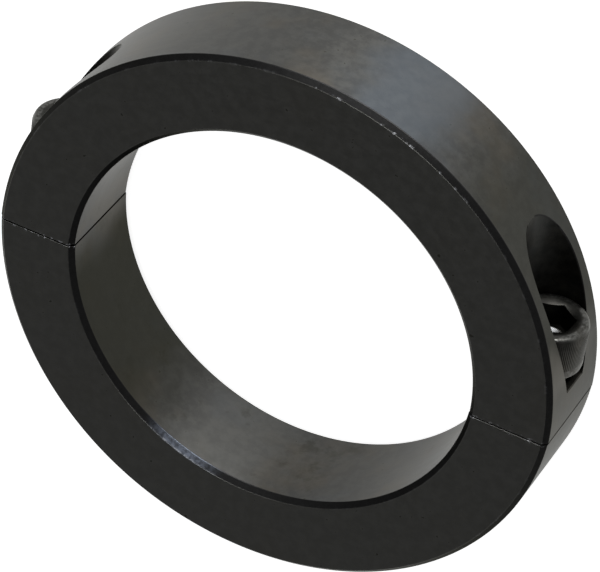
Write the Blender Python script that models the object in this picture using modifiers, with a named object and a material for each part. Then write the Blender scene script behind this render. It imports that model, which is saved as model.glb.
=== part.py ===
"""A two-piece clamping shaft collar: two half rings drawn together round a shaft by two cap screws.

The collar lies on its back face with +Z along the shaft, and +Y points out of the screws' heads.
The origin is the middle of the closed collar's footprint, on the back face.
The collar is stored with its halves pushed together, so each screw stands off its seat by the kerf.
"""

import math

import bpy

MM = 0.001
INCH = 25.4 * MM

# Ring
OUTER_RADIUS = 4.5 * INCH / 2
BORE_RADIUS = 3.25 * INCH / 2
WIDTH = 0.875 * INCH
EDGE_CHAMFER = 1.0 * MM
KERF = 0.125 * INCH  # what the saw took when the ring was split, all of it from the tapped half
SPLIT_GAP = 0.3 * MM  # left between the two halves as they are stored

# Clamp screw, 3/8-24 UNF x 1 in socket head cap screw
THREAD_PITCH = INCH / 24
PITCH_RADIUS = 0.3479 * INCH / 2
SCREW_LENGTH = 1.0 * INCH
HEAD_RADIUS = 0.5625 * INCH / 2
HEAD_HEIGHT = 0.375 * INCH
HEAD_TOP_CHAMFER = 0.9 * MM
HEAD_FOOT_CHAMFER = 0.5 * MM
HEX_ACROSS_FLATS = 0.3125 * INCH
HEX_DEPTH = 5.0 * MM
NECK_RADIUS = 4.7 * MM
NECK_LENGTH = 2.0 * MM
TIP_CHAMFER = 0.9 * MM
THREAD_CLEARANCE = 0.15 * MM  # screw and tapped hole are smooth, this far apart at the pitch radius
LEFT_SCREW_ANGLE = math.radians(17)

# Bolt holes
BOLT_OFFSET = 49.9 * MM
SEAT_HEIGHT = 7.36 * MM  # counterbore floor above the counterbored half's split face
COUNTERBORE_RADIUS = 7.62 * MM
CLEARANCE_RADIUS = 5.16 * MM
MOUTH_CHAMFER = 0.5 * MM

RING_STEPS = 120
HOLE_STEPS = 48
SCREW_STEPS = 48
OVERCUT = 5 * MM

# Places worked out from the sizes
SPLIT_Y = -(KERF - SPLIT_GAP) / 2  # counterbored half's split face and arc centre
TAPPED_FACE_Y = SPLIT_Y - SPLIT_GAP
TAPPED_ARC_Y = TAPPED_FACE_Y + KERF
HEAD_LIFT = KERF - SPLIT_GAP  # the heads seat once the halves are a kerf apart
HEAD_FOOT_Y = SPLIT_Y + SEAT_HEIGHT + HEAD_LIFT
MIDDLE_Z = WIDTH / 2

STEEL = ("black_oxide_steel", (0.075, 0.075, 0.072), 0.42)
SCREW_STEEL = ("screw_black_oxide", (0.05, 0.05, 0.052), 0.36)


def clear_scene():
    for obj in list(bpy.data.objects):
        bpy.data.objects.remove(obj, do_unlink=True)


def new_collection(name):
    collection = bpy.data.collections.new(name)
    bpy.context.scene.collection.children.link(collection)
    return collection


def black_oxide(name, colour, roughness):
    material = bpy.data.materials.new(name)
    material.use_nodes = True
    shader = material.node_tree.nodes["Principled BSDF"]
    shader.inputs["Base Color"].default_value = (*colour, 1)
    shader.inputs["Metallic"].default_value = 0.85
    shader.inputs["Roughness"].default_value = roughness
    return material


def turned(name, profile, steps, collection):
    """A solid turned about its own Z axis from (radius, height) points, listed from top to bottom outside."""
    mesh = bpy.data.meshes.new(name)
    points = [(radius, 0, height) for radius, height in profile]
    edges = [(i, i + 1) for i in range(len(points) - 1)]
    if profile[0][0] > 0:
        edges.append((len(points) - 1, 0))
    mesh.from_pydata(points, edges, [])
    obj = bpy.data.objects.new(name, mesh)
    collection.objects.link(obj)
    screw = obj.modifiers.new("turn", "SCREW")
    screw.steps = screw.render_steps = steps
    screw.use_merge_vertices = True
    screw.merge_threshold = 0.00001
    return obj


def as_cutter(obj):
    obj.hide_render = True
    obj.display_type = "WIRE"
    return obj


def cut(obj, cutter):
    boolean = obj.modifiers.new(cutter.name, "BOOLEAN")
    boolean.operation = "DIFFERENCE"
    boolean.solver = "EXACT"
    boolean.object = cutter


def smooth(obj):
    """Bakes the modifiers and shades the round faces smooth."""
    graph = bpy.context.evaluated_depsgraph_get()
    mesh = bpy.data.meshes.new_from_object(obj.evaluated_get(graph))
    obj.modifiers.clear()
    obj.data = mesh
    mesh.shade_smooth()
    mesh.set_sharp_from_angle(angle=math.radians(30))


def along_y(obj, x, y):
    """Stands a turned piece along +Y, on a bolt's axis."""
    obj.rotation_euler = (-math.pi / 2, 0, 0)
    obj.location = (x, y, MIDDLE_Z)
    return obj


def ring(name, arc_y, collection):
    """The whole turned ring: outer face, chamfers, front face, bore and back face."""
    c = EDGE_CHAMFER
    profile = [
        (OUTER_RADIUS - c, WIDTH), (OUTER_RADIUS, WIDTH - c), (OUTER_RADIUS, c), (OUTER_RADIUS - c, 0),
        (BORE_RADIUS + c, 0), (BORE_RADIUS, c), (BORE_RADIUS, WIDTH - c), (BORE_RADIUS + c, WIDTH),
    ]
    obj = turned(name, profile, RING_STEPS, collection)
    obj.location = (0, arc_y, 0)
    return obj


def half_space(name, face_y, side, collection):
    """A block that takes away all of a ring on one side of its split face."""
    size = 3 * OUTER_RADIUS
    bpy.ops.mesh.primitive_cube_add(size=size, location=(0, face_y + side * size / 2, MIDDLE_Z))
    obj = bpy.context.object
    obj.name = name
    for owner in list(obj.users_collection):
        owner.objects.unlink(obj)
    collection.objects.link(obj)
    return as_cutter(obj)


def counterbore_cutter(name, x, collection):
    """Head pocket and clearance hole in one stepped cutter, its origin on the seat."""
    foot = -SEAT_HEIGHT
    profile = [
        (0, OUTER_RADIUS), (COUNTERBORE_RADIUS, OUTER_RADIUS), (COUNTERBORE_RADIUS, 0), (CLEARANCE_RADIUS, 0),
        (CLEARANCE_RADIUS, foot + MOUTH_CHAMFER), (CLEARANCE_RADIUS + MOUTH_CHAMFER + OVERCUT, foot - OVERCUT),
        (0, foot - OVERCUT),
    ]
    cutter = turned(name, profile, HOLE_STEPS, collection)
    return as_cutter(along_y(cutter, x, SPLIT_Y + SEAT_HEIGHT))


def tapped_cutter(name, x, collection):
    """Tapped hole right through the half, its origin on the split face."""
    radius = PITCH_RADIUS + THREAD_CLEARANCE / 2
    mouth = THREAD_PITCH
    profile = [
        (0, OVERCUT), (radius + mouth + OVERCUT, OVERCUT), (radius, -mouth), (radius, -OUTER_RADIUS),
        (0, -OUTER_RADIUS),
    ]
    cutter = turned(name, profile, HOLE_STEPS, collection)
    return as_cutter(along_y(cutter, x, TAPPED_FACE_Y))


def counterbored_half(parts, cutters):
    half = ring("counterbored_half", SPLIT_Y, parts)
    cut(half, half_space("below_split", SPLIT_Y, -1, cutters))
    for side, x in (("right", BOLT_OFFSET), ("left", -BOLT_OFFSET)):
        cut(half, counterbore_cutter(f"{side}_counterbore", x, cutters))
    return half


def tapped_half(parts, cutters):
    half = ring("tapped_half", TAPPED_ARC_Y, parts)
    cut(half, half_space("above_split", TAPPED_FACE_Y, 1, cutters))
    for side, x in (("right", BOLT_OFFSET), ("left", -BOLT_OFFSET)):
        cut(half, tapped_cutter(f"{side}_tapped_hole", x, cutters))
    return half


def hex_cutter(name, x, turn, collection):
    """The key socket, cut down from the top of the head."""
    top = HEAD_FOOT_Y + HEAD_HEIGHT
    corner_radius = HEX_ACROSS_FLATS / math.sqrt(3)
    bpy.ops.mesh.primitive_cylinder_add(vertices=6, radius=corner_radius, depth=HEX_DEPTH + OVERCUT)
    obj = bpy.context.object
    obj.name = name
    for owner in list(obj.users_collection):
        owner.objects.unlink(obj)
    collection.objects.link(obj)
    obj.rotation_euler = (-math.pi / 2, turn, 0)
    obj.location = (x, top + (OVERCUT - HEX_DEPTH) / 2, MIDDLE_Z)
    return as_cutter(obj)


def clamp_screw(name, x, turn, parts, cutters):
    """Cap screw with its origin on its own axis, under the head."""
    shank = PITCH_RADIUS - THREAD_CLEARANCE / 2
    profile = [
        (0, HEAD_HEIGHT), (HEAD_RADIUS - HEAD_TOP_CHAMFER, HEAD_HEIGHT),
        (HEAD_RADIUS, HEAD_HEIGHT - HEAD_TOP_CHAMFER / 2), (HEAD_RADIUS, HEAD_FOOT_CHAMFER),
        (HEAD_RADIUS - HEAD_FOOT_CHAMFER, 0), (NECK_RADIUS, 0), (NECK_RADIUS, -NECK_LENGTH),
        (shank, -NECK_LENGTH), (shank, TIP_CHAMFER - SCREW_LENGTH), (shank - TIP_CHAMFER, -SCREW_LENGTH),
        (0, -SCREW_LENGTH),
    ]
    screw = along_y(turned(name, profile, SCREW_STEPS, parts), x, HEAD_FOOT_Y)
    cut(screw, hex_cutter(f"{name}_socket", x, turn, cutters))
    return screw


def main():
    clear_scene()
    parts = new_collection("shaft_collar")
    cutters = new_collection("cutters")
    steel = black_oxide(*STEEL)
    screw_steel = black_oxide(*SCREW_STEEL)
    pieces = [
        (counterbored_half(parts, cutters), steel),
        (tapped_half(parts, cutters), steel),
        (clamp_screw("right_clamp_screw", BOLT_OFFSET, 0, parts, cutters), screw_steel),
        (clamp_screw("left_clamp_screw", -BOLT_OFFSET, LEFT_SCREW_ANGLE, parts, cutters), screw_steel),
    ]
    for obj, material in pieces:
        smooth(obj)
        obj.data.materials.clear()
        obj.data.materials.append(material)


main()
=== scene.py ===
"""A two-piece clamping shaft collar in black oxide steel, lying on its back face on a pale studio floor."""
import math

import bmesh
import bpy
from mathutils import Matrix, Vector


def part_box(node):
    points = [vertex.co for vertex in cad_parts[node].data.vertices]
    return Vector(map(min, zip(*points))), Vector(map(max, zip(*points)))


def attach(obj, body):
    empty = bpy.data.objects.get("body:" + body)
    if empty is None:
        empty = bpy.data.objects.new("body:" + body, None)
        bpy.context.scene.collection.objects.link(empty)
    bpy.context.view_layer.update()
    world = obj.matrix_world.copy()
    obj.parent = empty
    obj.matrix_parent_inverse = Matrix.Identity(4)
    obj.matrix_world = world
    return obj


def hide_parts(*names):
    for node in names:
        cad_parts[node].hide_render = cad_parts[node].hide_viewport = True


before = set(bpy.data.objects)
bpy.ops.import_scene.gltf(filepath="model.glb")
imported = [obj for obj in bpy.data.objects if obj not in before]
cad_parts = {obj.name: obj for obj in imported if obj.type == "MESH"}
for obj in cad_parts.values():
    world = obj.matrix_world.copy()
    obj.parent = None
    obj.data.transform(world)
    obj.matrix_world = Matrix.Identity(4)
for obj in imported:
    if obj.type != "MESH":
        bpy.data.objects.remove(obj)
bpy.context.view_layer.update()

MM = 0.001

# Sizes read from the frame: the halves, and where the screws stand.
half_low, half_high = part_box("counterbored_half")
tapped_low, tapped_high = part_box("tapped_half")
screw_low, screw_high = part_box("right_clamp_screw")
OUTER_RADIUS = half_high[0]
WIDTH = half_high[2]
MIDDLE_Z = WIDTH / 2
SPLIT_Y = half_low[1]
TAPPED_FACE_Y = tapped_high[1]
TAPPED_ARC_Y = tapped_low[1] + OUTER_RADIUS
BOLT_X = (screw_low[0] + screw_high[0]) / 2
HEAD_RADIUS = (screw_high[0] - screw_low[0]) / 2
HEAD_TOP_Y = screw_high[1]
TIP_Y = screw_low[1]

# The collar.
BORE_RADIUS = 41.275 * MM
EDGE_CHAMFER = 1.0 * MM
CORNER_RADIUS = 0.25 * MM
SPLIT_EDGE_RADIUS = 0.07 * MM
HALF_STEPS = 180
SEAT_HEIGHT = 7.36 * MM
SEAT_Y = SPLIT_Y + SEAT_HEIGHT
COUNTERBORE_RADIUS = 7.62 * MM
COUNTERBORE_CORNER = 0.3 * MM
CLEARANCE_RADIUS = 5.16 * MM
MOUTH_CHAMFER = 0.5 * MM
COUNTERSINK = 0.3 * MM
EDGE_BREAK = 0.18 * MM

# How the holes are cut and the surfaces smoothed.
CUTTER_OVERRUN = 0.6
CUTTER_REACH = 2.5 * EDGE_BREAK
OVERRUN = 0.4 * MM
CONE_INSET = 0.5 * MM
HOLE_STEPS = 96
COUNTERBORE_RIM_STEPS = 150
TAPPED_RIM_STEPS = 120
WELD_DISTANCE = 0.012 * MM
SLIVER_LENGTH = 0.004 * MM
SHARP_ANGLE = math.radians(31)
WALL_TOLERANCE = 0.08 * MM

# The screws: 3/8 in, 24 threads to the inch, one inch long under the head.
THREAD_PITCH = 25.4 / 24 * MM
SCREW_MAJOR = 4.70 * MM
SCREW_MINOR = 4.10 * MM
SCREW_CREST = 0.125
HOLE_MAJOR = 4.85 * MM
HOLE_MINOR = 4.38 * MM
HOLE_CREST = 0.10
THREAD_STEPS = 48
FLANK_SLOPE = math.tan(math.radians(30))
HEAD_HEIGHT = 9.525 * MM
HEAD_FOOT_Y = HEAD_TOP_Y - HEAD_HEIGHT
SCREW_LENGTH = HEAD_FOOT_Y - TIP_Y
NECK_RADIUS = 4.76 * MM
NECK_LENGTH = 2.0 * MM
TIP_CHAMFER = 1.0 * MM
KNURL_TEETH = 108
COLUMNS_PER_TOOTH = 4
KNURL_DEPTH = 0.05 * MM
KNURL_LOW = 2.0 * MM
KNURL_HIGH = 8.4 * MM
HEAD_INSET = 0.18 * MM
RIM_RADIUS = 0.8 * MM
HEX_ACROSS_FLATS = 7.9375 * MM
HEX_DEPTH = 5.0 * MM
SOCKET_MOUTH = 5.15 * MM
MOUTH_SLOPE = math.tan(math.radians(23))
MOUTH_REACH = 1.6 * MM
POINT_SLOPE = math.tan(math.radians(31))
POINT_RADIUS = 0.82 * HEX_ACROSS_FLATS / 2
POINT_OVERLAP = 0.2 * MM
POINT_STEPS = 60
SOCKET_FLOOR = HEAD_HEIGHT - HEX_DEPTH
RIGHT_SCREW_ANGLE = math.radians(24)
LEFT_SCREW_ANGLE = math.radians(47)

# The camera looks down on the front face, from the side the screw heads come out of.
CAMERA_AIM = Vector((0.44, 1.08, 10.04)) * MM
CAMERA_DISTANCE = 787.0 * MM
CAMERA_AZIMUTH = math.radians(65.6)
CAMERA_ELEVATION = math.radians(47.33)
CAMERA_LEAN = math.radians(9.39)
CAMERA_LENS = 253.3
CAMERA_SENSOR = 36.0

# The studio, in metres and watts. The sky is (sine of the height, grey).
FLOOR_REACH = 3.0
FLOOR_DROP = 0.05 * MM
FLOOR_GLOW = 0.90
LIGHT_DISTANCE = 1.2
KEY_DIRECTION = (-0.06, 0.05, 1.0)
KEY_SIZE = (0.4, 0.4)
KEY_POWER = 3.5
SIDE_DIRECTION = (0.05, 0.97, 0.21)
SIDE_SIZE = (0.9, 0.42)
SIDE_POWER = 20.0
SKY = ((0.02, 0.50), (0.24, 0.14), (0.66, 0.48), (0.76, 0.03))


# ---------- meshes ----------

def mesh_object(name, points, faces):
    """An object from points and faces, its faces turned outwards."""
    mesh = bpy.data.meshes.new(name)
    mesh.from_pydata(points, [], faces)
    shape = bmesh.new()
    shape.from_mesh(mesh)
    bmesh.ops.recalc_face_normals(shape, faces=shape.faces)
    shape.to_mesh(mesh)
    shape.free()
    obj = bpy.data.objects.new(name, mesh)
    bpy.context.scene.collection.objects.link(obj)
    return obj


def apply_modifiers(obj):
    graph = bpy.context.evaluated_depsgraph_get()
    mesh = bpy.data.meshes.new_from_object(obj.evaluated_get(graph))
    obj.modifiers.clear()
    obj.data = mesh


def combine(obj, other, operation):
    """Cuts, joins or intersects obj with other, which is used up."""
    modifier = obj.modifiers.new("combine", "BOOLEAN")
    modifier.object = other
    modifier.operation = operation
    modifier.solver = "EXACT"
    apply_modifiers(obj)
    bpy.data.objects.remove(other)


def on_bolt_line(side, y=0.0):
    """From a turned shape's own frame, its axis along Z, to a bolt line of the collar, its axis along Y."""
    return Matrix.Translation((side * BOLT_X, y, MIDDLE_Z)) @ Matrix.Rotation(math.radians(-90), 4, "X")


def turned(name, profile, steps=HOLE_STEPS, depth_at=lambda column, z: 0.0):
    """A solid of revolution about Z. The profile runs from pole to pole as (radius, z)."""
    points = [(0.0, 0.0, profile[0][1])]
    for radius, z in profile[1:-1]:
        for column in range(steps):
            angle = 2 * math.pi * column / steps
            reach = radius - depth_at(column, z)
            points.append((reach * math.cos(angle), reach * math.sin(angle), z))
    points.append((0.0, 0.0, profile[-1][1]))
    last = len(points) - 1
    rows = len(profile) - 2
    faces = []
    for column in range(steps):
        after = (column + 1) % steps
        faces.append((0, 1 + column, 1 + after))
        for row in range(rows - 1):
            near = 1 + row * steps
            far = near + steps
            faces.append((near + column, far + column, far + after, near + after))
        top = 1 + (rows - 1) * steps
        faces.append((top + column, last, top + after))
    return mesh_object(name, points, faces)


def thread(name, minor, major, crest, first_turn, last_turn):
    """A rod with a right-hand thread about Z. Its crest passes z = half a pitch at angle 0.

    The grid follows the helix: a step round the rod is also a step up it, and after a full turn
    each column meets the first one, a pitch higher.
    """
    flank = (major - minor) * FLANK_SLOPE / THREAD_PITCH
    profile = (
        (minor, 0.5 - crest / 2 - flank),
        (major, 0.5 - crest / 2),
        (major, 0.5 + crest / 2),
        (minor, 0.5 + crest / 2 + flank),
    )
    per_turn = len(profile)
    rows = per_turn * (last_turn - first_turn)
    points = []
    for column in range(THREAD_STEPS):
        angle = 2 * math.pi * column / THREAD_STEPS
        for row in range(rows):
            radius, place = profile[row % per_turn]
            turn = first_turn + row // per_turn + place + column / THREAD_STEPS
            points.append((radius * math.cos(angle), radius * math.sin(angle), turn * THREAD_PITCH))

    def at(column, row):
        return column * rows + row

    faces = []
    for column in range(THREAD_STEPS - 1):
        for row in range(rows - 1):
            after = column + 1
            faces.append((at(column, row), at(after, row), at(after, row + 1), at(column, row + 1)))
    end = THREAD_STEPS - 1
    for row in range(rows - 1 - per_turn):
        up = row + per_turn
        faces.append((at(end, row), at(0, up), at(0, up + 1), at(end, row + 1)))
    low_rim = [at(column, 0) for column in range(THREAD_STEPS)]
    low_rim += [at(0, row) for row in range(per_turn, 0, -1)]
    high_rim = [at(column, rows - 1) for column in range(THREAD_STEPS)]
    high_rim += [at(end, row) for row in range(rows - 2, rows - 2 - per_turn, -1)]
    for rim, z in ((low_rim, first_turn * THREAD_PITCH), (high_rim, (last_turn + 1) * THREAD_PITCH)):
        points.append((0.0, 0.0, z))
        pole = len(points) - 1
        for place, corner in enumerate(rim):
            faces.append((pole, corner, rim[(place + 1) % len(rim)]))
    return mesh_object(name, points, faces)


def edge_cutter(name, path, closed):
    """A three-sided bar along an edge, which takes EDGE_BREAK off each side of it.

    The path holds (point, normal, normal): a point of the edge and the two faces' outward normals there.
    """
    points = []
    for point, first, second in path:
        along = first.cross(second).normalized()
        back_first = first.cross(along)
        if back_first.dot(second) > 0:
            back_first = -back_first
        back_second = second.cross(along)
        if back_second.dot(first) > 0:
            back_second = -back_second
        start = point + EDGE_BREAK * back_first
        stop = point + EDGE_BREAK * back_second
        points.append(start + CUTTER_OVERRUN * (start - stop))
        points.append(stop + CUTTER_OVERRUN * (stop - start))
        points.append(point + CUTTER_REACH * (first + second).normalized())
    faces = []
    count = len(path)
    for step in range(count if closed else count - 1):
        here = 3 * step
        there = 3 * ((step + 1) % count)
        for corner in range(3):
            after = (corner + 1) % 3
            faces.append((here + corner, there + corner, there + after, here + after))
    if not closed:
        faces.append((0, 1, 2))
        faces.append((3 * count - 1, 3 * count - 2, 3 * count - 3))
    return mesh_object(name, points, faces)


# ---------- the halves ----------

def ring_outline(inset):
    """The ring's section, as (radius, z), its corners rounded and drawn in by inset."""
    chamfer = EDGE_CHAMFER - (2 - math.sqrt(2)) * inset
    inner = BORE_RADIUS + inset
    outer = OUTER_RADIUS - inset
    low = inset
    high = WIDTH - inset
    corners = [
        (inner + chamfer, low),
        (outer - chamfer, low),
        (outer, low + chamfer),
        (outer, high - chamfer),
        (outer - chamfer, high),
        (inner + chamfer, high),
        (inner, high - chamfer),
        (inner, low + chamfer),
    ]
    outline = []
    for place, corner in enumerate(corners):
        after = corners[(place + 1) % len(corners)]
        outline += rounded_corner(corners[place - 1], corner, after, CORNER_RADIUS - inset)
    return outline


def rounded_corner(before, corner, after, radius):
    """Four points of an arc that rounds a 135 degree corner."""
    here = Vector(corner)
    back = (Vector(before) - here).normalized()
    onward = (Vector(after) - here).normalized()
    half_turn = math.radians(22.5)
    tangent = radius * math.tan(half_turn)
    start = here + tangent * back
    centre = here + radius / math.cos(half_turn) * (back + onward).normalized()
    turn = (start - centre).angle_signed(here + tangent * onward - centre)
    arc = []
    for step in range(4):
        spoke = (start - centre).copy()
        spoke.rotate(Matrix.Rotation(-turn * step / 3, 2))
        arc.append(tuple(centre + spoke))
    return arc


def half_ring(name, arc_y, face_y, side):
    """Half the ring, above its split face (side 1) or below it (side -1), its split edges rounded."""
    ends = []
    for step in range(4):
        turn = math.radians(30 * step)
        inset = SPLIT_EDGE_RADIUS * (1 - math.sin(turn))
        rise = SPLIT_EDGE_RADIUS * (1 - math.cos(turn))
        ends.append((inset, rise))
    columns = [(inset, rise, 0.0) for inset, rise in ends]
    columns += [(0.0, SPLIT_EDGE_RADIUS, step / HALF_STEPS) for step in range(1, HALF_STEPS)]
    columns += [(inset, rise, 1.0) for inset, rise in reversed(ends)]
    points = []
    for inset, rise, part in columns:
        for radius, z in ring_outline(inset):
            start = math.asin((face_y + side * rise - arc_y) / radius)
            angle = start + part * (side * math.pi - 2 * start)
            points.append((radius * math.cos(angle), arc_y + radius * math.sin(angle), z))
    count = len(ring_outline(0.0))
    faces = [tuple(range(count))]
    for column in range(len(columns) - 1):
        for place in range(count):
            after = (place + 1) % count
            here = column * count
            there = here + count
            faces.append((here + place, here + after, there + after, there + place))
    faces.append(tuple(range(len(points) - count, len(points))))
    return mesh_object(name, points, faces)


def hole_rim(side, arc_y, radius, up, first, last, steps):
    """The edge where a hole of that radius on a bolt line leaves the outside of the ring."""
    path = []
    for step in range(steps):
        angle = first + (last - first) * step / steps
        x = BOLT_X + radius * math.cos(angle)
        rise = math.sqrt(OUTER_RADIUS ** 2 - x ** 2)
        point = Vector((side * x, arc_y + up * rise, MIDDLE_Z + radius * math.sin(angle)))
        outward = Vector((side * x, up * rise, 0)).normalized()
        inward = Vector((-side * math.cos(angle), 0, -math.sin(angle)))
        path.append((point, outward, inward))
    return path


def counterbored_half():
    half = half_ring("counterbored_half_steel", SPLIT_Y, SPLIT_Y, 1)
    mouth = CLEARANCE_RADIUS + MOUTH_CHAMFER
    corner = [
        (COUNTERBORE_RADIUS - COUNTERBORE_CORNER * (1 - math.cos(turn)),
         SEAT_Y + COUNTERBORE_CORNER * (1 - math.sin(turn)))
        for turn in (math.radians(degrees) for degrees in (0, 30, 60, 90))
    ]
    profile = [
        (0.0, OUTER_RADIUS),
        (COUNTERBORE_RADIUS, OUTER_RADIUS),
        *corner,
        (mouth, SEAT_Y),
        (CLEARANCE_RADIUS, SEAT_Y - MOUTH_CHAMFER),
        (CLEARANCE_RADIUS, SPLIT_Y + MOUTH_CHAMFER),
        (mouth + MOUTH_CHAMFER, SPLIT_Y - MOUTH_CHAMFER),
        (0.0, SPLIT_Y - MOUTH_CHAMFER),
    ]
    seat_x = math.sqrt(OUTER_RADIUS ** 2 - SEAT_HEIGHT ** 2)
    open_angle = math.acos((seat_x - BOLT_X) / COUNTERBORE_RADIUS)
    open_z = COUNTERBORE_RADIUS * math.sin(open_angle)
    for side in (1, -1):
        hole = turned("hole", profile)
        hole.data.transform(on_bolt_line(side))
        combine(half, hole, "DIFFERENCE")
        rim = hole_rim(side, SPLIT_Y, COUNTERBORE_RADIUS, 1,
                       open_angle, 2 * math.pi - open_angle, COUNTERBORE_RIM_STEPS)
        combine(half, edge_cutter("rim", rim, False), "DIFFERENCE")
        sill = []
        for z in (MIDDLE_Z - open_z, MIDDLE_Z + open_z):
            outward = Vector((side * seat_x, SEAT_HEIGHT, 0)).normalized()
            sill.append((Vector((side * seat_x, SEAT_Y, z)), outward, Vector((0, 1, 0))))
        combine(half, edge_cutter("sill", sill, False), "DIFFERENCE")
    return half


def tapped_half():
    half = half_ring("tapped_half_steel", TAPPED_ARC_Y, TAPPED_FACE_Y, -1)
    mouth = HOLE_MAJOR + COUNTERSINK
    cone_end_y = TAPPED_FACE_Y - (mouth - HOLE_MINOR + CONE_INSET)
    countersink = [
        (0.0, TAPPED_FACE_Y + OVERRUN),
        (mouth + OVERRUN, TAPPED_FACE_Y + OVERRUN),
        (HOLE_MINOR - CONE_INSET, cone_end_y),
        (0.0, cone_end_y),
    ]
    exit_y = TAPPED_ARC_Y - math.sqrt(OUTER_RADIUS ** 2 - (BOLT_X - HOLE_MAJOR) ** 2)
    first_turn = math.floor((exit_y - HEAD_FOOT_Y) / THREAD_PITCH) - 3
    last_turn = math.ceil((TAPPED_FACE_Y - HEAD_FOOT_Y) / THREAD_PITCH) + 1
    for side in (1, -1):
        tap = thread("tap", HOLE_MINOR, HOLE_MAJOR, HOLE_CREST, first_turn, last_turn)
        tap.data.transform(on_bolt_line(side, HEAD_FOOT_Y))
        combine(half, tap, "DIFFERENCE")
        cone = turned("cone", countersink)
        cone.data.transform(on_bolt_line(side))
        combine(half, cone, "DIFFERENCE")
        rim = hole_rim(side, TAPPED_ARC_Y, HOLE_MAJOR, -1, 0.0, 2 * math.pi, TAPPED_RIM_STEPS)
        combine(half, edge_cutter("rim", rim, True), "DIFFERENCE")
    return half


# ---------- the screws ----------

def knurl(column, z):
    """How deep the knurl's grooves are, half of each tooth's columns to a groove."""
    if KNURL_LOW < z < KNURL_HIGH and column % COLUMNS_PER_TOOTH >= COLUMNS_PER_TOOTH / 2:
        return KNURL_DEPTH
    return 0.0


def screw_head():
    """The head and neck, turned, the knurl's grooves down its side. The head's foot is at z = 0."""
    rim = [
        (HEAD_RADIUS - HEAD_INSET - RIM_RADIUS * (1 - math.sin(turn)),
         HEAD_HEIGHT - RIM_RADIUS * (1 - math.cos(turn)))
        for turn in (math.radians(degrees) for degrees in (85, 68, 51, 34, 17, 0))
    ]
    profile = [
        (0.0, -NECK_LENGTH - 0.4 * MM),
        (SCREW_MINOR - 0.1 * MM, -NECK_LENGTH - 0.4 * MM),
        (NECK_RADIUS, -NECK_LENGTH + 0.2 * MM),
        (NECK_RADIUS, -0.45 * MM),
        (NECK_RADIUS + 0.08 * MM, -0.18 * MM),
        (NECK_RADIUS + 0.24 * MM, -0.04 * MM),
        (NECK_RADIUS + 0.45 * MM, 0.0),
        (HEAD_RADIUS - 0.62 * MM, 0.0),
        (HEAD_RADIUS - 0.26 * MM, 0.10 * MM),
        (HEAD_RADIUS - 0.06 * MM, 0.36 * MM),
        (HEAD_RADIUS, 0.75 * MM),
        (HEAD_RADIUS, KNURL_LOW - 0.25 * MM),
        (HEAD_RADIUS - 0.05 * MM, KNURL_LOW - 0.05 * MM),
        (HEAD_RADIUS, KNURL_LOW + 0.15 * MM),
        (HEAD_RADIUS, (KNURL_LOW + KNURL_HIGH) / 2),
        (HEAD_RADIUS, KNURL_HIGH - 0.05 * MM),
        (HEAD_RADIUS - 0.12 * MM, KNURL_HIGH + 0.15 * MM),
        *rim,
        (0.0, HEAD_HEIGHT),
    ]
    return turned("head", profile, COLUMNS_PER_TOOTH * KNURL_TEETH, knurl)


def hex_socket(turn):
    """The cutter for the socket: a hexagon with a drill point below it and a chamfered mouth."""
    corner = HEX_ACROSS_FLATS / math.sqrt(3)
    top_z = HEAD_HEIGHT + 1.0 * MM
    profile = [(0.0, SOCKET_FLOOR), (corner, SOCKET_FLOOR), (corner, top_z), (0.0, top_z)]
    socket = turned("socket", profile, 6)
    point = [
        (0.0, SOCKET_FLOOR - POINT_SLOPE * POINT_RADIUS),
        (POINT_RADIUS + POINT_OVERLAP, SOCKET_FLOOR + POINT_SLOPE * POINT_OVERLAP),
        (0.0, SOCKET_FLOOR + 0.3 * MM),
    ]
    combine(socket, turned("point", point, POINT_STEPS), "UNION")
    mouth = [
        (0.0, HEAD_HEIGHT - MOUTH_SLOPE * MOUTH_REACH),
        (SOCKET_MOUTH - MOUTH_REACH, HEAD_HEIGHT - MOUTH_SLOPE * MOUTH_REACH),
        (SOCKET_MOUTH + OVERRUN, HEAD_HEIGHT + MOUTH_SLOPE * OVERRUN),
        (0.0, HEAD_HEIGHT + MOUTH_SLOPE * OVERRUN),
    ]
    socket.data.transform(Matrix.Rotation(turn, 4, "Z"))
    combine(socket, turned("mouth", mouth), "UNION")
    return socket


def clamp_screw(name, side, turn):
    """A socket head cap screw, hung on a bolt line of the collar."""
    turns = math.ceil(SCREW_LENGTH / THREAD_PITCH)
    screw = thread(name, SCREW_MINOR, SCREW_MAJOR, SCREW_CREST, -turns - 2, 1)
    envelope = [
        (0.0, -SCREW_LENGTH),
        (SCREW_MAJOR - TIP_CHAMFER, -SCREW_LENGTH),
        (SCREW_MAJOR + 0.2 * MM, -SCREW_LENGTH + TIP_CHAMFER + 0.2 * MM),
        (SCREW_MAJOR + 0.2 * MM, -NECK_LENGTH / 2),
        (0.0, -NECK_LENGTH / 2),
    ]
    combine(screw, turned("envelope", envelope), "INTERSECT")
    head = screw_head()
    combine(head, hex_socket(turn), "DIFFERENCE")
    combine(screw, head, "UNION")
    screw.matrix_world = on_bolt_line(side, HEAD_FOOT_Y)
    return screw


def finish_surface(obj):
    """Drops specks the cuts left, then smooths each surface up to its edges."""
    shape = bmesh.new()
    shape.from_mesh(obj.data)
    bmesh.ops.remove_doubles(shape, verts=shape.verts, dist=WELD_DISTANCE)
    bmesh.ops.dissolve_degenerate(shape, edges=shape.edges, dist=SLIVER_LENGTH)
    for face in shape.faces:
        face.smooth = True
    for edge in shape.edges:
        edge.smooth = len(edge.link_faces) == 2 and edge.calc_face_angle(0.0) < SHARP_ANGLE
    shape.to_mesh(obj.data)
    shape.free()
    weighted = obj.modifiers.new("normals", "WEIGHTED_NORMAL")
    weighted.keep_sharp = True
    apply_modifiers(obj)


# ---------- materials ----------

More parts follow.
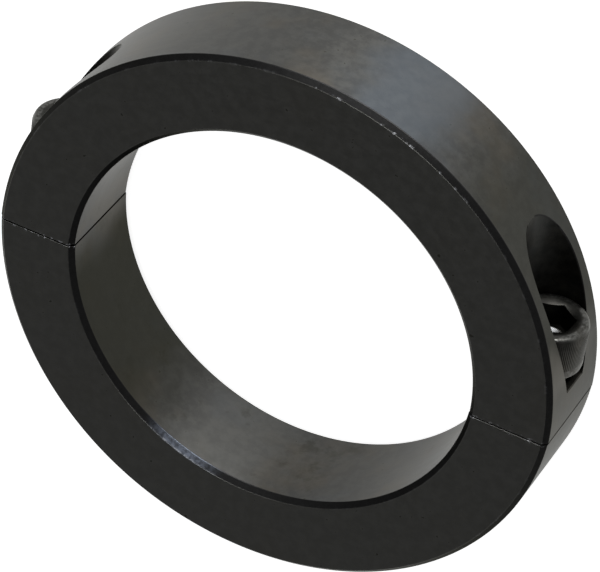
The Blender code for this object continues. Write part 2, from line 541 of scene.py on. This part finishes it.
class Graph:
    """Short names for the nodes of one material. A value is a number or another node's output."""

    def __init__(self, name):
        self.material = bpy.data.materials.new(name)
        self.material.use_nodes = True
        self.tree = self.material.node_tree
        self.shader = self.tree.nodes["Principled BSDF"]

    def node(self, kind, inputs=(), **settings):
        made = self.tree.nodes.new(kind)
        for key, value in settings.items():
            setattr(made, key, value)
        for key, value in inputs:
            self.feed(made.inputs[key], value)
        return made

    def feed(self, socket, value):
        if isinstance(value, bpy.types.NodeSocket):
            self.tree.links.new(value, socket)
        else:
            socket.default_value = value

    def math(self, operation, *values):
        return self.node("ShaderNodeMath", list(enumerate(values)), operation=operation).outputs[0]

    def product(self, *values):
        total = values[0]
        for value in values[1:]:
            total = self.math("MULTIPLY", total, value)
        return total

    def noise(self, vector, size, detail=3.0, roughness=0.55):
        """Noise whose largest blots are about size across."""
        inputs = [("Vector", vector), ("Scale", 1 / size), ("Detail", detail), ("Roughness", roughness)]
        return self.node("ShaderNodeTexNoise", inputs).outputs["Fac"]

    def rise(self, value, low, high):
        """0 up to low, 1 from high on, smooth between. It falls instead where low is over high."""
        falls = low > high
        inputs = [("Value", value), ("From Min", min(low, high)), ("From Max", max(low, high))]
        inputs += [("To Min", 1.0 if falls else 0.0), ("To Max", 0.0 if falls else 1.0)]
        return self.node("ShaderNodeMapRange", inputs, interpolation_type="SMOOTHSTEP").outputs["Result"]

    def near(self, value, centre, full, none):
        """1 within full of centre, falling to 0 at none from it."""
        return self.rise(self.math("ABSOLUTE", self.math("SUBTRACT", value, centre)), none, full)

    def sector(self, angle, centre, full, none):
        """1 within full degrees of centre, falling to 0 at none degrees from it."""
        return self.near(angle, math.radians(centre), math.radians(full), math.radians(none))

    def mix(self, factor, first, second):
        made = self.node("ShaderNodeMix", data_type="RGBA")
        self.feed(made.inputs["Factor"], factor)
        self.feed(made.inputs["A"], first)
        self.feed(made.inputs["B"], second)
        return made.outputs["Result"]


def colour(red, green, blue):
    return (red, green, blue, 1.0)


OXIDE_DARK = colour(0.050, 0.050, 0.048)
OXIDE = colour(0.068, 0.068, 0.064)
FACED_DARK = colour(0.080, 0.080, 0.075)
# FACED_AND_HIGHLIGHT also paints a highlight band in the bore.
FACED_AND_HIGHLIGHT = colour(0.090, 0.090, 0.085)
CHAMFER_DARK = colour(0.014, 0.014, 0.014)
CHAMFER = colour(0.028, 0.028, 0.028)
# The hole tones are partly painted shade in the recesses; the darker one also paints shade on the socket's
# walls and a shadow line along the split.
HOLE_DARK_AND_SHADE = colour(0.016, 0.016, 0.014)
HOLE = colour(0.030, 0.029, 0.025)
OXIDE_BROWN = colour(0.088, 0.074, 0.054)
# The blue is an oxide tint, and also tints a painted highlight on the outside.
BLUE_OXIDE_AND_SHEEN = colour(0.070, 0.082, 0.096)
# The olive is stain and specks, and also the painted shade patches on the outside and in the bore.
OLIVE_OXIDE_AND_SHADE = colour(0.028, 0.028, 0.021)
SCREW_DARK = colour(0.022, 0.022, 0.020)
SCREW_OXIDE = colour(0.040, 0.039, 0.036)
# Worn bluish steel, partly a painted glint on the bore chamfer.
WORN_BLUE_AND_GLINT = colour(0.105, 0.118, 0.145)
# Bare steel is wear, and also painted glints on the edges and in the socket's drill point.
BARE_STEEL_AND_GLINT = colour(0.46, 0.47, 0.50)
RUBBED_OXIDE = colour(0.20, 0.20, 0.19)
PAPER_DARK = colour(0.50, 0.50, 0.50)
PAPER = colour(0.54, 0.54, 0.54)

# How much light each finish sends back at a slant.
EDGE_TINT = colour(0.95, 0.95, 0.93)
SCREW_TINT = colour(0.80, 0.80, 0.78)
# The dull tint is a duller finish on the chamfers, and also damps reflections as painted shade.
DULL_AND_SHADE_TINT = colour(0.40, 0.40, 0.38)

LINE_SPACING = 0.55 * MM
FINISH_BLEND = 0.12 * MM


def round_place(graph, arc_y):
    """The radius, angle and height of a point of a ring about Z, and the position itself."""
    position = graph.node("ShaderNodeTexCoord").outputs["Object"]
    split = graph.node("ShaderNodeSeparateXYZ", [("Vector", position)])
    rise = graph.math("SUBTRACT", split.outputs["Y"], arc_y)
    across = split.outputs["X"]
    radius = graph.math("SQRT", graph.math("ADD", graph.product(across, across), graph.product(rise, rise)))
    return radius, graph.math("ARCTAN2", rise, across), split.outputs["Z"], position


def turned_lines(graph, radius, angle, z):
    """Fine lines left by the lathe: long round the axis, and close together across it."""
    lines = graph.node("ShaderNodeCombineXYZ")
    graph.feed(lines.inputs["X"], graph.math("MULTIPLY", radius, 1 / LINE_SPACING))
    graph.feed(lines.inputs["Y"], graph.math("MULTIPLY", z, 1 / LINE_SPACING))
    graph.feed(lines.inputs["Z"], graph.math("MULTIPLY", angle, 2.2))
    return graph.noise(lines.outputs["Vector"], 1.0, 4.0, 0.6)


def oxide_skin(graph, position, lines, dark, light, tint):
    """Black oxide, its colour and roughness: dark to light in flecks, brown and blue in slow clouds."""
    clouds = graph.noise(position, 16 * MM, 4.0)
    flecks = graph.noise(position, 2.2 * MM, 5.0, 0.65)
    skin = graph.mix(graph.rise(flecks, 0.35, 0.68), dark, light)
    skin = graph.mix(graph.product(graph.rise(clouds, 0.50, 0.68), tint), skin, OXIDE_BROWN)
    skin = graph.mix(graph.product(graph.rise(clouds, 0.46, 0.34), 0.5 * tint), skin, BLUE_OXIDE_AND_SHEEN)
    specks = graph.rise(graph.noise(position, 1.1 * MM, 2.0, 0.4), 0.73, 0.77)
    skin = graph.mix(graph.product(specks, 0.75), skin, OLIVE_OXIDE_AND_SHADE)
    rough = graph.math("MULTIPLY_ADD", flecks, 0.10, 0.27)
    rough = graph.math("MULTIPLY_ADD", lines, 0.06, rough)
    return skin, rough


def bump(graph, lines, position, chips=0.0):
    """Lathe lines and a fine grain, with chips where an edge has rubbed."""
    grain = graph.noise(position, 0.28 * MM, 2.0)
    height = graph.math("MULTIPLY_ADD", grain, 0.35, lines)
    height = graph.math("ADD", height, chips)
    made = graph.node("ShaderNodeBump", [("Strength", 0.25), ("Distance", 0.012 * MM), ("Height", height)])
    graph.feed(graph.shader.inputs["Normal"], made.outputs["Normal"])


def finish_material(graph, skin, rough, tint=EDGE_TINT):
    graph.feed(graph.shader.inputs["Base Color"], skin)
    graph.feed(graph.shader.inputs["Roughness"], rough)
    graph.feed(graph.shader.inputs["Specular Tint"], tint)
    graph.shader.inputs["Metallic"].default_value = 1.0
    return graph.material


def turned_steel(name, arc_y, face_y):
    """Black oxide on the outside and in the bore, where lathe lines stretch the highlights across; painted
    shade patches, a painted highlight band in the bore, a bluish tint on the outside's highlight and a
    painted shadow line along the split.
    """
    graph = Graph(name)
    radius, angle, z, position = round_place(graph, arc_y)
    lines = turned_lines(graph, radius, angle, z)
    skin, rough = oxide_skin(graph, position, lines, OXIDE_DARK, OXIDE, 0.35)
    wander = graph.noise(position, 9 * MM, 3.0)
    sway = math.radians(7)
    place = graph.math("MULTIPLY_ADD", wander, 2 * sway, graph.math("SUBTRACT", angle, sway))
    outside = graph.rise(radius, OUTER_RADIUS - 0.7 * MM, OUTER_RADIUS - 0.4 * MM)
    inside = graph.rise(radius, BORE_RADIUS + 0.7 * MM, BORE_RADIUS + 0.4 * MM)
    # A bluish patch on the outside where the side light's streak falls: oxide tint and partly painted
    # highlight.
    blue = graph.sector(place, 73, 4, 15)
    skin = graph.mix(graph.product(outside, blue, 0.6), skin, BLUE_OXIDE_AND_SHEEN)
    # A paler band in the bore where the side light's streak falls: a painted highlight.
    bore_highlight = graph.sector(place, -101, 5, 21)
    skin = graph.mix(graph.product(inside, bore_highlight, 0.40), skin, FACED_AND_HIGHLIGHT)
    painted_shade = 0.0
    # The painted shade patches, darker and duller where the floor's shadow is seen in reflection: where,
    # the middle and the spread in degrees, and how strong.
    for where, centre, full, none, share in (
        (outside, 36, 12, 27, 0.50),
        (outside, -6, 14, 24, 0.30),
        (inside, -147, 15, 35, 0.72),
    ):
        shade_patch = graph.sector(place, centre, full, none)
        shade_patch = graph.product(shade_patch, where, share)
        skin = graph.mix(shade_patch, skin, OLIVE_OXIDE_AND_SHADE)
        painted_shade = graph.math("MAXIMUM", shade_patch, painted_shade)
    stain = graph.rise(graph.noise(position, 7 * MM, 4.0, 0.7), 0.56, 0.70)
    stain = graph.product(inside, stain)
    skin = graph.mix(graph.product(stain, 0.45), skin, OLIVE_OXIDE_AND_SHADE)
    across = graph.node("ShaderNodeSeparateXYZ", [("Vector", position)]).outputs["Y"]
    # A painted shadow line on the outside along the split.
    seam_shadow = graph.product(outside, graph.near(across, face_y, 0.18 * MM, 0.28 * MM))
    skin = graph.mix(seam_shadow, skin, HOLE_DARK_AND_SHADE)
    tint = graph.mix(graph.math("MAXIMUM", painted_shade, graph.product(seam_shadow, 1.4)), EDGE_TINT, DULL_AND_SHADE_TINT)
    bump(graph, lines, position)
    graph.shader.inputs["Anisotropic"].default_value = 0.85
    graph.shader.inputs["Anisotropic Rotation"].default_value = 0.25
    tangent = graph.node("ShaderNodeTangent", direction_type="RADIAL", axis="Z")
    graph.feed(graph.shader.inputs["Tangent"], tangent.outputs["Tangent"])
    return finish_material(graph, skin, rough, tint)


def faced_steel(name, arc_y, face_y):
    """Black oxide on the flat faces, darker on the chamfers, with bare steel where edges have rubbed, and
    painted glints along the outer edge and on a worn patch of the bore chamfer.
    """
    graph = Graph(name)
    radius, angle, z, position = round_place(graph, arc_y)
    lines = turned_lines(graph, radius, angle, z)
    skin, rough = oxide_skin(graph, position, lines, FACED_DARK, FACED_AND_HIGHLIGHT, 0.06)
    chips = graph.noise(position, 0.9 * MM, 4.0, 0.7)
    wear = graph.noise(position, 3.5 * MM, 3.0, 0.6)
    front = graph.math("SUBTRACT", z, WIDTH)
    outer_edge = OUTER_RADIUS - EDGE_CHAMFER
    inner_edge = BORE_RADIUS + EDGE_CHAMFER
    chamfer = graph.math("MAXIMUM", graph.rise(radius, outer_edge, outer_edge + FINISH_BLEND),
                         graph.rise(radius, inner_edge, inner_edge - FINISH_BLEND))
    skin = graph.mix(chamfer, skin, graph.mix(chips, CHAMFER_DARK, CHAMFER))

    at_outer = graph.near(radius, outer_edge, 0.08 * MM, 0.30 * MM)
    at_inner = graph.near(radius, inner_edge, 0.08 * MM, 0.30 * MM)
    # Painted glints: the outer edge's bare steel is strongest at 73 degrees, where the light glints; the
    # edges mask carries this glint as well as wear.
    glint_sector = graph.sector(angle, 73, 7, 26)
    outer_wear_and_glint = graph.product(at_outer, graph.math("MULTIPLY_ADD", glint_sector, 0.55, 0.10))
    edges = graph.math("MAXIMUM", outer_wear_and_glint, graph.product(at_inner, 0.04))
    edges = graph.product(edges, graph.near(front, 0.0, 0.15 * MM, 0.4 * MM))
    edges = graph.product(edges, graph.rise(chips, 0.46, 0.62), graph.rise(wear, 0.50, 0.59))
    skin = graph.mix(edges, skin, BARE_STEEL_AND_GLINT)

    # A worn bluish patch on the bore chamfer, partly a painted glint, with a painted glint streak of bare
    # steel along its inner edge.
    bore_glint_sector = graph.sector(angle, -109, 3, 14)
    patchy = graph.math("MULTIPLY_ADD", wear, 0.6, 0.1)
    patchy = graph.math("MULTIPLY_ADD", graph.rise(chips, 0.36, 0.62), 0.6, patchy)
    lighter_patch = graph.product(
        graph.rise(radius, inner_edge + 0.35 * MM, inner_edge - 0.10 * MM),
        graph.near(front, 0.0, 0.9 * MM, 1.3 * MM),
        bore_glint_sector,
        patchy,
    )
    skin = graph.mix(lighter_patch, skin, WORN_BLUE_AND_GLINT)
    glint_streak = graph.product(
        at_inner,
        bore_glint_sector,
        graph.near(front, 0.0, 0.2 * MM, 0.5 * MM),
        graph.rise(chips, 0.40, 0.65),
    )
    skin = graph.mix(graph.product(glint_streak, 0.4), skin, BARE_STEEL_AND_GLINT)
    rough = graph.math("MULTIPLY_ADD", lighter_patch, 0.12, rough)

    across = graph.node("ShaderNodeSeparateXYZ", [("Vector", position)]).outputs["Y"]
    flecks = graph.product(
        graph.near(across, face_y, 0.15 * MM, 0.55 * MM),
        graph.near(front, 0.0, 0.4 * MM, 1.3 * MM),
        graph.rise(chips, 0.56, 0.62),
    )
    skin = graph.mix(graph.product(flecks, 0.8), skin, BARE_STEEL_AND_GLINT)
    bump(graph, lines, position, graph.product(edges, chips, 9.0))
    tint = graph.mix(graph.product(chamfer, 0.8), EDGE_TINT, DULL_AND_SHADE_TINT)
    return finish_material(graph, skin, rough, tint)


def hole_steel(name, arc_y):
    """The darkest oxide, in the drilled and counterbored holes, partly painted shade in these recesses."""
    graph = Graph(name)
    radius, angle, z, position = round_place(graph, arc_y)
    lines = turned_lines(graph, radius, angle, z)
    skin, rough = oxide_skin(graph, position, lines, HOLE_DARK_AND_SHADE, HOLE, 0.15)
    bump(graph, lines, position)
    return finish_material(graph, skin, graph.math("ADD", rough, 0.12))


def screw_steel(name):
    """Black oxide on a screw: darkest on the socket's walls as painted shade, brighter on the head's rim
    and foot, with a painted glint in the drill point.
    """
    graph = Graph(name)
    radius, angle, z, position = round_place(graph, 0.0)
    lines = turned_lines(graph, radius, angle, z)
    skin, rough = oxide_skin(graph, position, lines, SCREW_DARK, SCREW_OXIDE, 0.2)
    chips = graph.rise(graph.noise(position, 0.8 * MM, 4.0, 0.7), 0.35, 0.65)
    cone_base = HEAD_HEIGHT - MOUTH_SLOPE * SOCKET_MOUTH
    cone_z = graph.math("MULTIPLY_ADD", radius, MOUTH_SLOPE, cone_base)
    below_cone = graph.math("SUBTRACT", cone_z, z)
    in_socket = graph.rise(radius, SOCKET_MOUTH - 0.5 * MM, SOCKET_MOUTH - 0.6 * MM)
    # The socket's walls are painted dark and dull as shade.
    shaded_walls = graph.product(
        in_socket,
        graph.rise(z, SOCKET_FLOOR, SOCKET_FLOOR + 0.2 * MM),
        graph.rise(below_cone, 0.05 * MM, 0.12 * MM),
    )
    skin = graph.mix(shaded_walls, skin, HOLE_DARK_AND_SHADE)
    rim = graph.product(
        graph.near(z, HEAD_HEIGHT, 0.3 * MM, 0.9 * MM),
        graph.near(radius, HEAD_RADIUS - 0.9 * MM, 0.5 * MM, 0.9 * MM),
    )
    foot = graph.product(
        graph.near(z, 1.1 * MM, 0.7 * MM, 1.0 * MM),
        graph.rise(radius, 6.2 * MM, 6.6 * MM),
    )
    lighter_patch = graph.math("MAXIMUM", graph.product(rim, 0.35), graph.product(foot, 0.35))
    skin = graph.mix(graph.product(lighter_patch, chips), skin, RUBBED_OXIDE)
    # A painted glint: bare steel in the drill point, where the light glints.
    painted_glint = graph.product(
        graph.rise(z, SOCKET_FLOOR, SOCKET_FLOOR - 0.1 * MM),
        graph.rise(radius, 1.2 * MM, 1.8 * MM),
        graph.sector(angle, 100, 15, 40),
    )
    skin = graph.mix(graph.product(painted_glint, 0.12), skin, BARE_STEEL_AND_GLINT)
    bump(graph, lines, position)
    return finish_material(graph, skin, rough, graph.mix(shaded_walls, SCREW_TINT, DULL_AND_SHADE_TINT))


def floor_paper():
    """Matt white paper, lit from below as on a light table."""
    graph = Graph("floor_paper")
    position = graph.node("ShaderNodeTexCoord").outputs["Object"]
    grain = graph.noise(position, 3 * MM, 3.0)
    graph.feed(graph.shader.inputs["Base Color"], graph.mix(grain, PAPER_DARK, PAPER))
    graph.shader.inputs["Roughness"].default_value = 0.9
    graph.shader.inputs["Emission Color"].default_value = colour(1, 1, 1)
    graph.shader.inputs["Emission Strength"].default_value = FLOOR_GLOW
    return graph.material


# ---------- studio ----------

def add_camera():
    forward = -Vector((
        math.cos(CAMERA_ELEVATION) * math.cos(CAMERA_AZIMUTH),
        math.cos(CAMERA_ELEVATION) * math.sin(CAMERA_AZIMUTH),
        math.sin(CAMERA_ELEVATION),
    ))
    level_right = forward.cross(Vector((0, 1, 0))).normalized()
    level_up = level_right.cross(forward)
    right = math.cos(CAMERA_LEAN) * level_right + math.sin(CAMERA_LEAN) * level_up
    up = right.cross(forward)
    turn = Matrix((right, up, -forward)).transposed().to_4x4()
    data = bpy.data.cameras.new("camera")
    data.lens = CAMERA_LENS
    data.sensor_width = CAMERA_SENSOR
    data.sensor_fit = "HORIZONTAL"
    camera = bpy.data.objects.new("camera", data)
    camera.matrix_world = Matrix.Translation(CAMERA_AIM - CAMERA_DISTANCE * forward) @ turn
    bpy.context.scene.collection.objects.link(camera)
    bpy.context.scene.camera = camera


def add_floor():
    reach = FLOOR_REACH
    corners = [(-reach, -reach, 0), (reach, -reach, 0), (reach, reach, 0), (-reach, reach, 0)]
    floor = mesh_object("floor", corners, [(0, 1, 2, 3)])
    floor.location.z = -FLOOR_DROP
    floor.data.materials.append(floor_paper())


def add_softbox(name, direction, size, power):
    data = bpy.data.lights.new(name, "AREA")
    data.shape = "RECTANGLE"
    data.size, data.size_y = size
    data.energy = power
    lamp = bpy.data.objects.new(name, data)
    place = LIGHT_DISTANCE * Vector(direction).normalized()
    lamp.location = place
    lamp.rotation_euler = place.to_track_quat("Z", "Y").to_euler()
    lamp.visible_camera = False
    bpy.context.scene.collection.objects.link(lamp)


def add_world():
    """A studio that is pale round the horizon and darker overhead, grey by the sine of the height."""
    world = bpy.data.worlds.new("studio")
    world.use_nodes = True
    tree = world.node_tree
    nodes = tree.nodes
    coordinate = nodes.new("ShaderNodeTexCoord")
    split = nodes.new("ShaderNodeSeparateXYZ")
    tree.links.new(coordinate.outputs["Generated"], split.inputs["Vector"])
    ramp = nodes.new("ShaderNodeValToRGB")
    elements = ramp.color_ramp.elements
    while len(elements) < len(SKY):
        elements.new(0.5)
    for element, (place, grey) in zip(elements, SKY):
        element.position = place
        element.color = colour(grey, grey, grey)
    tree.links.new(split.outputs["Z"], ramp.inputs["Fac"])
    tree.links.new(ramp.outputs["Color"], nodes["Background"].inputs["Color"])
    bpy.context.scene.world = world


def paint_half(half, arc_y, face_y):
    """One finish on the faces and chamfers, one on the outside and the bore, and one in the holes."""
    name = half.name.replace("_steel", "")
    half.data.materials.clear()
    faced, turned_round, in_holes = range(3)
    for finish in (
        faced_steel(name + "_faced", arc_y, face_y),
        turned_steel(name + "_turned", arc_y, face_y),
        hole_steel(name + "_holes", arc_y),
    ):
        half.data.materials.append(finish)
    for face in half.data.polygons:
        middle = face.center
        radius = math.hypot(middle.x, middle.y - arc_y)
        on_outside = abs(radius - OUTER_RADIUS) < WALL_TOLERANCE
        in_bore = abs(radius - BORE_RADIUS) < WALL_TOLERANCE
        off_bolt_line = math.hypot(abs(middle.x) - BOLT_X, middle.z - MIDDLE_Z)
        if (on_outside or in_bore) and abs(face.normal.z) < 0.1:
            face.material_index = turned_round
        elif off_bolt_line < COUNTERBORE_RADIUS + 0.05 * MM and abs(middle.y - face_y) > 0.05 * MM:
            face.material_index = in_holes
        else:
            face.material_index = faced


def main():
    add_camera()
    add_floor()
    add_world()
    add_softbox("key", KEY_DIRECTION, KEY_SIZE, KEY_POWER)
    add_softbox("side", SIDE_DIRECTION, SIDE_SIZE, SIDE_POWER)
    upper = counterbored_half()
    lower = tapped_half()
    right_screw = clamp_screw("right_cap_screw", 1, RIGHT_SCREW_ANGLE)
    left_screw = clamp_screw("left_cap_screw", -1, LEFT_SCREW_ANGLE)
    for piece, body, slot in (
        (upper, "counterbored_half", "collar_steel"),
        (lower, "tapped_half", "collar_steel"),
        (right_screw, "right_clamp_screw", "screw_steel"),
        (left_screw, "left_clamp_screw", "screw_steel"),
    ):
        finish_surface(piece)
        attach(piece, body)
        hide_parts(body)
    paint_half(upper, SPLIT_Y, SPLIT_Y)
    paint_half(lower, TAPPED_ARC_Y, TAPPED_FACE_Y)
    screw_finish = screw_steel("oxide_screw")
    for screw in (right_screw, left_screw):
        screw.data.materials.clear()
        screw.data.materials.append(screw_finish)
    bpy.context.scene.view_settings.view_transform = "Standard"


main()
